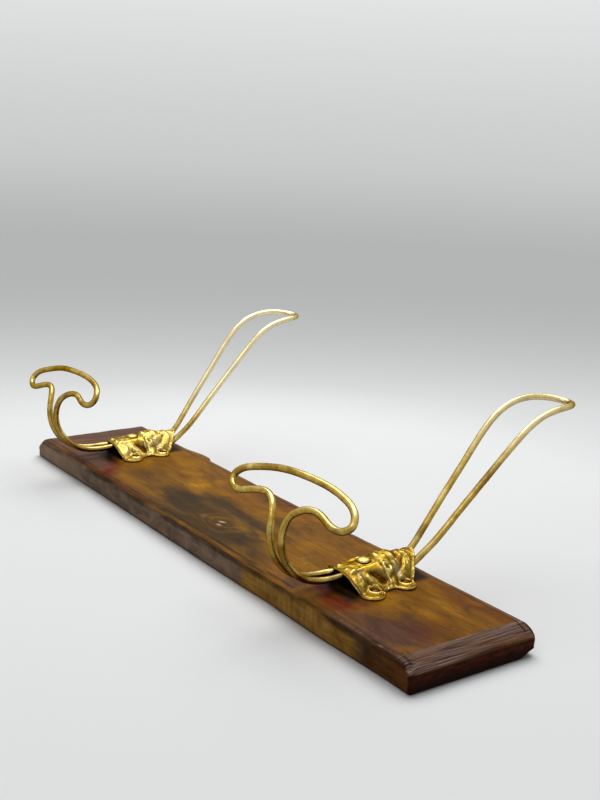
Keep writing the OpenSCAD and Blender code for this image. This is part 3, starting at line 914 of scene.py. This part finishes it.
# The pit and the bright crest beside it
PIT = [(8.6, 0.4), (11.4, 1.6), (14.4, 3.2)]
CREST = [(6.1, -3), (6.6, 1.2), (7, 4.2)]
# What the plate's edge and its lower face take of an attribute; the others are 0 there
EDGE_AND_UNDER = {"hollow": (0.15, 0.9), "polish": (0.6, 0)}


def mirrored(plan):
    """The plan folded onto its right half, as both halves are alike."""
    return np.stack([np.abs(plan[..., 0]), plan[..., 1]], -1)


def away_from(points, place):
    return np.linalg.norm(points - place, axis=-1)


def near_circle(away, radius, width):
    """A fine rounded ring: 1 at the radius, 0 beside it."""
    return np.exp(-(((away - radius) / width) ** 2))


def plate_relief(plan, from_rim):
    """Height of the stamped ornament above the plain shell."""
    p = mirrored(plan)
    # Rolled rim with a groove inside it
    relief = 0.45 * near_circle(from_rim, 0, 0.8) - 0.3 * near_circle(from_rim, 1.6, 0.6)
    for height, line_half_width, path in RELIEF_LINES:
        relief += height * rib(p, rounded_path(path), line_half_width)
    for height, radius, middle in RELIEF_SPOTS:
        relief += height * bump(p, middle, radius)
    relief += 0.95 * rib(p, arc(VOLUTE, -210, 90), 0.9)
    # Smooth ground below the domed nail's head, inside a fine collar
    from_dome = away_from(p, DOME_PLACE)
    relief *= rise(from_dome, DOME_HEAD[0] - 0.8, DOME_HEAD[0] + 0.9)
    relief += 0.22 * near_circle(from_dome, DOME_HEAD[0] + 0.7, 0.4)
    # An eyelet round each ear's nail
    for nail in (LOWER_NAIL, UPPER_NAIL):
        away = away_from(p, nail)
        relief *= rise(away, 2.2, 3.8)
        relief += 0.75 * near_circle(away, 3.3, 0.8) - NAIL_SINK * rise(away, 2.8, 1.8)
    return relief


def brass_plate_material():
    n = Nodes("stamped_brass")
    hollow = n.attribute("hollow")
    blotch = n.noise(260, 4, 0.62, 0.8)
    fine = n.noise(1300, 3, 0.6)
    wash = n.noise(120, 2, 0.5)
    stops = [(0.3, (0.15, 0.09, 0.014)), (0.5, (0.29, 0.192, 0.034)), (0.72, (0.5, 0.365, 0.095))]
    bright = n.ramp(blotch, stops)
    olive = n.ramp(blotch, [(0.3, (0.115, 0.062, 0.007)), (0.7, (0.275, 0.175, 0.028))])
    dull = n.ramp(fine, [(0.3, (0.065, 0.024, 0.001)), (0.7, (0.14, 0.064, 0.004))])
    spots = n.ramp(n.noise(420, 4, 0.65, 0.5), [(0.5, 0), (0.66, 1)])
    # Dull patina lies in the hollows, with painted shade on the lower ear at -X; the deep layer darkens the
    # pit and paints shade round the nail heads
    colour = n.layered(
        bright,
        (n.ramp(wash, [(0.4, 0), (0.62, 0.85)]), olive),
        ("polish", (0.9, 0.71, 0.25)),
        ("gilt", (0.93, 0.57, 0.055)),
        (n.math("MULTIPLY", spots, 0.6), dull),
        (hollow, dull),
        ("grey", (0.24, 0.195, 0.115)),
        ("deep", (0.032, 0.012, 0.002)),
    )
    gloss = n.math("ADD", n.ramp(fine, [(0.3, 0.26), (0.7, 0.42)]), n.math("MULTIPLY", hollow, 0.2))
    worn = n.bump(fine, 0.0002, 0.35, n.bump(blotch, 0.0008, 0.5))
    return n.finish_metal((0.5, 0.34, 0.09), Base_Color=colour, Roughness=gloss, Normal=worn)


def spread_out(values, passes):
    """Each value averaged with its grid neighbours, again and again."""
    for _ in range(passes):
        p = np.pad(values, 1, mode="edge")
        values = (p[:-2, 1:-1] + p[2:, 1:-1] + p[1:-1, :-2] + p[1:-1, 2:] + 2 * values) / 6
    return values


def plate_plans():
    """The plate's plan before and after the trim of its left side, and the distance from its rim."""
    half = half_plate_plan()
    full = np.concatenate([half[:, :0:-1] * [-1, 1], half], axis=1)
    outline = full.reshape(-1, 2)[rim_loop(*full.shape[:2])]
    from_rim = distance_to_path(full, np.vstack([outline, outline[:1]]))
    # The left ears are trimmed smaller, and the mouth beside the lower one lies further back
    u, y = full[..., 0], full[..., 1]
    plan = full
    for nail, share, sets_in, ends in TRIMS:
        trimmed = share * rise(u, -8, -16) * rise(y, sets_in, ends) * rise(y, 30, 22)
        plan = plan + (np.array([-nail[0], nail[1]]) - plan) * trimmed[..., None]
    plan[..., 1] += 1.3 * rise(u, -2.5, -6) * rise(y, -9, -16)
    return full, plan, from_rim


def plate_shape(full, plan, from_rim):
    """Heights of the plain shell, pressed lower at the left, and of the ornament on it."""
    u, y = full[..., 0], full[..., 1]
    base = spread_out(shell_height(plan[..., 0], plan[..., 1]), 3)
    pressed = 1.8 * rise(u, -4.6, -7.5) * rise(y, -6, -14)
    pressed += 1.5 * rise(u, -3, -7) * rise(y, 0, 4) * rise(y, 15, 10)
    base = base - np.minimum(pressed, np.maximum(base - 1.2, 0))
    fainter = 1 - 0.6 * rise(u, -3, -8)
    smooth_ear = 1 - rise(u, -12, -15) * (y < 4)
    return base, plate_relief(plan, from_rim) * fainter * smooth_ear


def plate_mesh(plan, top, under, middle):
    """Points and faces of the sheet: its upper face, its rounded edge and its lower face."""
    outer, inner = (np.concatenate([plan, z[..., None]], -1) + middle for z in (top, under))
    loop = rim_loop(*top.shape)
    edge_outer, edge_inner = (face.reshape(-1, 3)[loop] for face in (outer, inner))
    sideways = outwards(edge_outer)
    rings = [edge_outer * (1 - share) + edge_inner * share + sideways * EDGE_SWELL * math.sin(math.pi * share)
             for share in (0.2, 0.5, 0.8)]
    return closed_sheet(outer, rings, inner)


def plate_looks(side, full, plan, from_rim, surface, place):
    """What the plate's material reads at each point of the upper face, by name."""
    u, y = full[..., 0], full[..., 1]
    p = mirrored(plan)
    from_dome = away_from(p, DOME_PLACE)
    crest = rib(p, CREST, 1.5)
    # Crevices, which lie below their surroundings, hold dark patina; ridges are rubbed bright
    raised = surface - spread_out(surface, 12)
    # The lower ear on the -X side is darkened as painted shade
    shaded = 0.85 * rise(u, -13, -15) * (y < 4)
    sunk = np.clip(-raised / 0.6, 0, 0.9)
    sunk = np.maximum(sunk, 0.8 * rise(from_rim, 1.3, 0.7) * rise(y, -7, -10))
    below_bead = 0.35 * bump(p, (1.5, 4), 5) * (1 - crest)
    sunk = np.maximum.reduce([sunk * (1 - 0.8 * crest), shaded, below_bead, 0.35 * bump(p, (15.5, -3.5), 5)])
    rubbed_rim = rise(from_rim, 1.1, 0.4) * rise(rough(place, 2.4, seed=103), -0.4, 0.5)
    polish = np.maximum(np.clip(raised / 0.45 - 0.15, 0, 0.85), 0.6 * rubbed_rim)
    # The left plate is paler all over
    polish = polish if side == "right" else np.clip(polish + 0.3, 0, 0.9)
    polish *= 1 - 0.6 * rise(p[..., 0], 6, 9) * rise(y, 15, 19)
    polish *= (1 - 0.6 * crest) * (1 - shaded)
    deep = rib(p, PIT, 3.3) * (1 - 0.8 * crest)
    # A dark ring just outside the domed head is painted shade under its rim
    deep = np.maximum(deep, 0.8 * near_line(from_dome - DOME_HEAD[0] - 0.1, 0.8, 0.3))
    for nail in (LOWER_NAIL, UPPER_NAIL):
        from_nail = away_from(p, nail)
        # Painted shade darkens the hole round each ear nail's head
        deep = np.maximum(deep, 0.9 * rise(from_nail, 2.9, 2.3))
        sunk = np.maximum(sunk, 0.7 * near_line(from_nail - 4.6, 0.7, 0.2))
    grey = bump(p, (11.6, 15), 3.6) * rise(noise(place, 1.6, 111), -0.6, 0.3)
    grey = np.maximum(grey, 0.6 * bump(p, (9.6, -8.5), 2.2))
    deep = np.clip(deep * 1.15, 0, 1)
    return {"hollow": sunk, "deep": deep, "grey": grey, "polish": polish, "gilt": 0.85 * crest}


def make_plate(side, material):
    middle = hook_middle(side)
    full, plan, from_rim = plate_plans()
    base, relief = plate_shape(full, plan, from_rim)
    place = np.concatenate([plan + middle[:2], base[..., None]], -1)
    hammered = (0.14 + 0.12 * rise(full[..., 1], 12, 20)) * rough(place, 2, seed=101)
    hammered *= rise(away_from(mirrored(plan), DOME_PLACE), 3, 6)
    top = np.maximum(base + relief + hammered, LOWEST_TOP)
    under = np.maximum(spread_out(base + np.minimum(relief, 0), 2) - SHEET, LOWEST_UNDER)
    under = np.minimum(under, top - THINNEST)
    points, faces = plate_mesh(plan, top, under, middle)
    obj = mesh_object(side + "_plate_shell", points, faces, material, 60)
    edge_points = len(points) - 2 * top.size
    looks = plate_looks(side, full, plan, from_rim, base + relief, place)
    for name, values in looks.items():
        edge, lower = EDGE_AND_UNDER.get(name, (0, 0))
        looks[name] = np.concatenate([values.ravel(), np.full(edge_points, edge), np.full(top.size, lower)])
    stand_in(obj, side + "_cover_plate", looks)


# ---- Nails ----

NAIL_STEPS = 32
# How far a nail's end point stands beyond the last ring
NAIL_TIP = 0.02


def nail_material(name, light, dark, roughness):
    n = Nodes(name)
    blotch = n.noise(420, 4, 0.6, 0.3)
    colour = n.ramp(blotch, [(0.3, dark), (0.62, light)])
    gloss = n.ramp(n.noise(1500, 2), [(0.3, roughness), (0.7, roughness + 0.14)])
    worn = n.bump(blotch, 0.0003, 0.25)
    return n.finish_metal((0.8, 0.6, 0.25), Base_Color=colour, Roughness=gloss, Normal=worn)


def nail_profile(head_radius, head_height, shank_radius, shank_length):
    """Radius and height from the head's top to the shank's point."""
    dome = [(head_radius * math.sin(a), head_height * (0.28 + 0.72 * math.cos(a)))
            for a in np.linspace(0, math.pi / 2, 10)[1:]]
    skirt = [(head_radius, head_height * 0.14), (head_radius * 0.96, 0.03), (head_radius * 0.88, 0)]
    shank = [(shank_radius * 1.3, 0), (shank_radius, -0.3), (shank_radius, 1.6 - shank_length)]
    point = [(shank_radius * 0.55, 0.6 - shank_length), (shank_radius * 0.12, 0.02 - shank_length)]
    return dome + skirt + shank + point


def make_nail(name, node, place, profile, material, seed):
    rings = [circle(radius, z, NAIL_STEPS) for radius, z in profile]
    top = (0, 0, profile[0][1] + NAIL_TIP)
    tip = (0, 0, profile[-1][1] - NAIL_TIP)
    points = np.array([top] + [p for ring in rings for p in ring] + [tip])
    dents = 0.05 * rough(points, 1.5, seed=seed)
    points = points + (points * [1, 1, 0.5]) * dents[:, None] * (points[:, 2:] > 0.2)
    loops = [list(range(1 + j * NAIL_STEPS, 1 + (j + 1) * NAIL_STEPS)) for j in range(len(profile))]
    faces = [(0, a, b) for a, b in pairs(loops[0])]
    for upper, lower in zip(loops[:-1], loops[1:]):
        faces += band_faces(upper, lower)
    faces += [(b, a, len(points) - 1) for a, b in pairs(loops[-1])]
    obj = mesh_object(name, points + place, faces, material, 50)
    stand_in(obj, node)


def make_nails(side, ear_material, dome_material):
    middle = hook_middle(side)
    sign = 1 if side == "right" else -1
    ear = nail_profile(*NAIL_HEAD, NAIL_SHANK, NAIL_DEPTH + SHEET - NAIL_SINK)
    for seed, (row, nail) in enumerate((("lower", LOWER_NAIL), ("upper", UPPER_NAIL))):
        for way, mirror in (("outer", 1), ("inner", -1)):
            name = f"{side}_nail_{row}_{way}"
            place = middle + [sign * mirror * nail[0], nail[1], SHEET - NAIL_SINK]
            make_nail(name + "_head", name, place, ear, ear_material, 120 + seed)
    dome = nail_profile(*DOME_HEAD, DOME_SHANK, NAIL_DEPTH + DOME_SEAT)
    place = middle + [*DOME_PLACE, DOME_SEAT]
    make_nail(side + "_domed_head", side + "_domed_nail", place, dome, dome_material, 130)


# ---- Studio ----

CAMERA_PLACE = (550.6, -354.4, 248.9)
CAMERA_TURN, CAMERA_PITCH, CAMERA_ROLL = 54.214, 14.009, 2.516
# Focal length as a share of the sensor's longer side
FOCAL_SHARE = 1.4391
SENSOR = 36


def make_camera():
    """The photograph's view: turned from +Y, pitched down and rolled."""
    turned = [(CAMERA_TURN, "Z"), (90 - CAMERA_PITCH, "X"), (CAMERA_ROLL, "Z")]
    turn, pitch, roll = (Matrix.Rotation(math.radians(angle), 4, axis) for angle, axis in turned)
    data = bpy.data.cameras.new("camera")
    data.lens = FOCAL_SHARE * SENSOR
    data.sensor_width = SENSOR
    data.clip_start, data.clip_end = 0.01, 100
    camera = scene_object("camera", data)
    camera.matrix_world = Matrix.Translation(Vector(CAMERA_PLACE) * MM) @ turn @ pitch @ roll
    bpy.context.scene.camera = camera


FLOOR_COLOUR = (0.765, 0.775, 0.775)
# The floor's radius, and where it fades out, in metres
FLOOR_RADIUS, FADE_START, FADE_END = 900, 0.26, 0.42
FLOOR_SIDES = 96
# Background brightness by the sine of the elevation angle
BACKDROP = [
    (-0.3, 0.77), (-0.24, 0.77), (-0.216, 0.645), (-0.182, 0.515), (-0.155, 0.47), (-0.115, 0.452),
    (-0.089, 0.485), (-0.064, 0.545), (-0.039, 0.597), (0.01, 0.65), (0.059, 0.722), (0.1, 0.79),
    (0.15, 0.8), (0.5, 0.85), (0.8, 1), (1, 1),
]
# Red in the background, as a share of its green and blue
BACKDROP_RED = 0.985
# Strength of the even light on all surfaces
LAMP_LEVEL = 0.21
# Name, place and aim in metres, size in metres, and power in watts
LAMPS = [
    ("overhead", (-0.34, 0.32, 1.3), (0.25, -0.25, 0), (1.3, 1.3), 21),
    ("side_fill", (0.45, -1.1, 1.1), (0, 0, 0.02), (0.9, 0.7), 2.6),
]


def make_floor():
    """A pale disc that fades into the background, so that no edge of it shows."""
    points = [(0, 0, 0)] + circle(FLOOR_RADIUS, 0, FLOOR_SIDES)
    faces = [(0, a, b) for a, b in pairs(list(range(1, FLOOR_SIDES + 1)))]
    n = Nodes("pale_paper")
    distance = n.make("VectorMath", {0: n.place}, operation="LENGTH").outputs["Value"]
    fade = n.make("MapRange", {"Value": distance, "From Min": FADE_START, "From Max": FADE_END},
                  interpolation_type="SMOOTHSTEP").outputs[0]
    clear = n.make("BsdfTransparent").outputs[0]
    mixed = n.make("MixShader", {"Fac": fade, 1: n.shader.outputs[0], 2: clear}).outputs[0]
    n.put(n.tree.nodes["Material Output"].inputs["Surface"], mixed)
    n.finish(Base_Color=(*FLOOR_COLOUR, 1), Roughness=0.9, Specular_IOR_Level=0)
    floor = mesh_object("floor", points, faces, n.owner)


def make_world():
    """Even studio light for the surfaces; the camera, gloss and glass see the pale background."""
    n = Nodes("studio", bpy.data.worlds)
    bpy.context.scene.world = n.owner
    direction = n.make("TexCoord").outputs["Generated"]
    sine = n.make("SeparateXYZ", {0: direction}).outputs["Z"]
    share = n.math("MULTIPLY", n.math("ADD", sine, 1), 0.5)
    seen = n.ramp(share, [((s + 1) / 2, (v * BACKDROP_RED, v, v)) for s, v in BACKDROP], "B_SPLINE")
    path = n.make("LightPath")
    backdrop = n.make("Background", {"Color": seen}).outputs[0]
    lamp = n.make("Background", {"Color": (1, 1, 1, 1), "Strength": LAMP_LEVEL}).outputs[0]
    reflected = n.math("MAXIMUM", path.outputs["Is Camera Ray"], path.outputs["Is Glossy Ray"])
    either = n.math("MAXIMUM", reflected, path.outputs["Is Transmission Ray"])
    mixed = n.make("MixShader", {"Fac": either, 1: lamp, 2: backdrop}).outputs[0]
    n.put(n.tree.nodes["World Output"].inputs["Surface"], mixed)


def make_lamp(name, place, aim, size, power):
    data = bpy.data.lights.new(name, "AREA")
    data.shape = "RECTANGLE"
    data.size, data.size_y = size
    data.energy = power
    lamp = scene_object(name, data)
    lamp.location = place
    lamp.rotation_euler = (Vector(aim) - Vector(place)).to_track_quat("-Z", "Y").to_euler()


def make_studio():
    bpy.context.scene.view_settings.view_transform = "Standard"
    make_camera()
    make_floor()
    make_world()
    for lamp in LAMPS:
        make_lamp(*lamp)


# ---- The whole rack ----

make_studio()
make_board(wood_material())
wire = wire_material()
plate = brass_plate_material()
ear_brass = nail_material("tarnished_nail_brass", (0.11, 0.055, 0.016), (0.03, 0.011, 0.004), 0.42)
dome_brass = nail_material("polished_nail_brass", (0.62, 0.48, 0.17), (0.4, 0.27, 0.07), 0.27)
for hook_side in ("right", "left"):
    make_hook(hook_side, wire)
    make_plate(hook_side, plate)
    make_nails(hook_side, ear_brass, dome_brass)

bpy.context.view_layer.update()
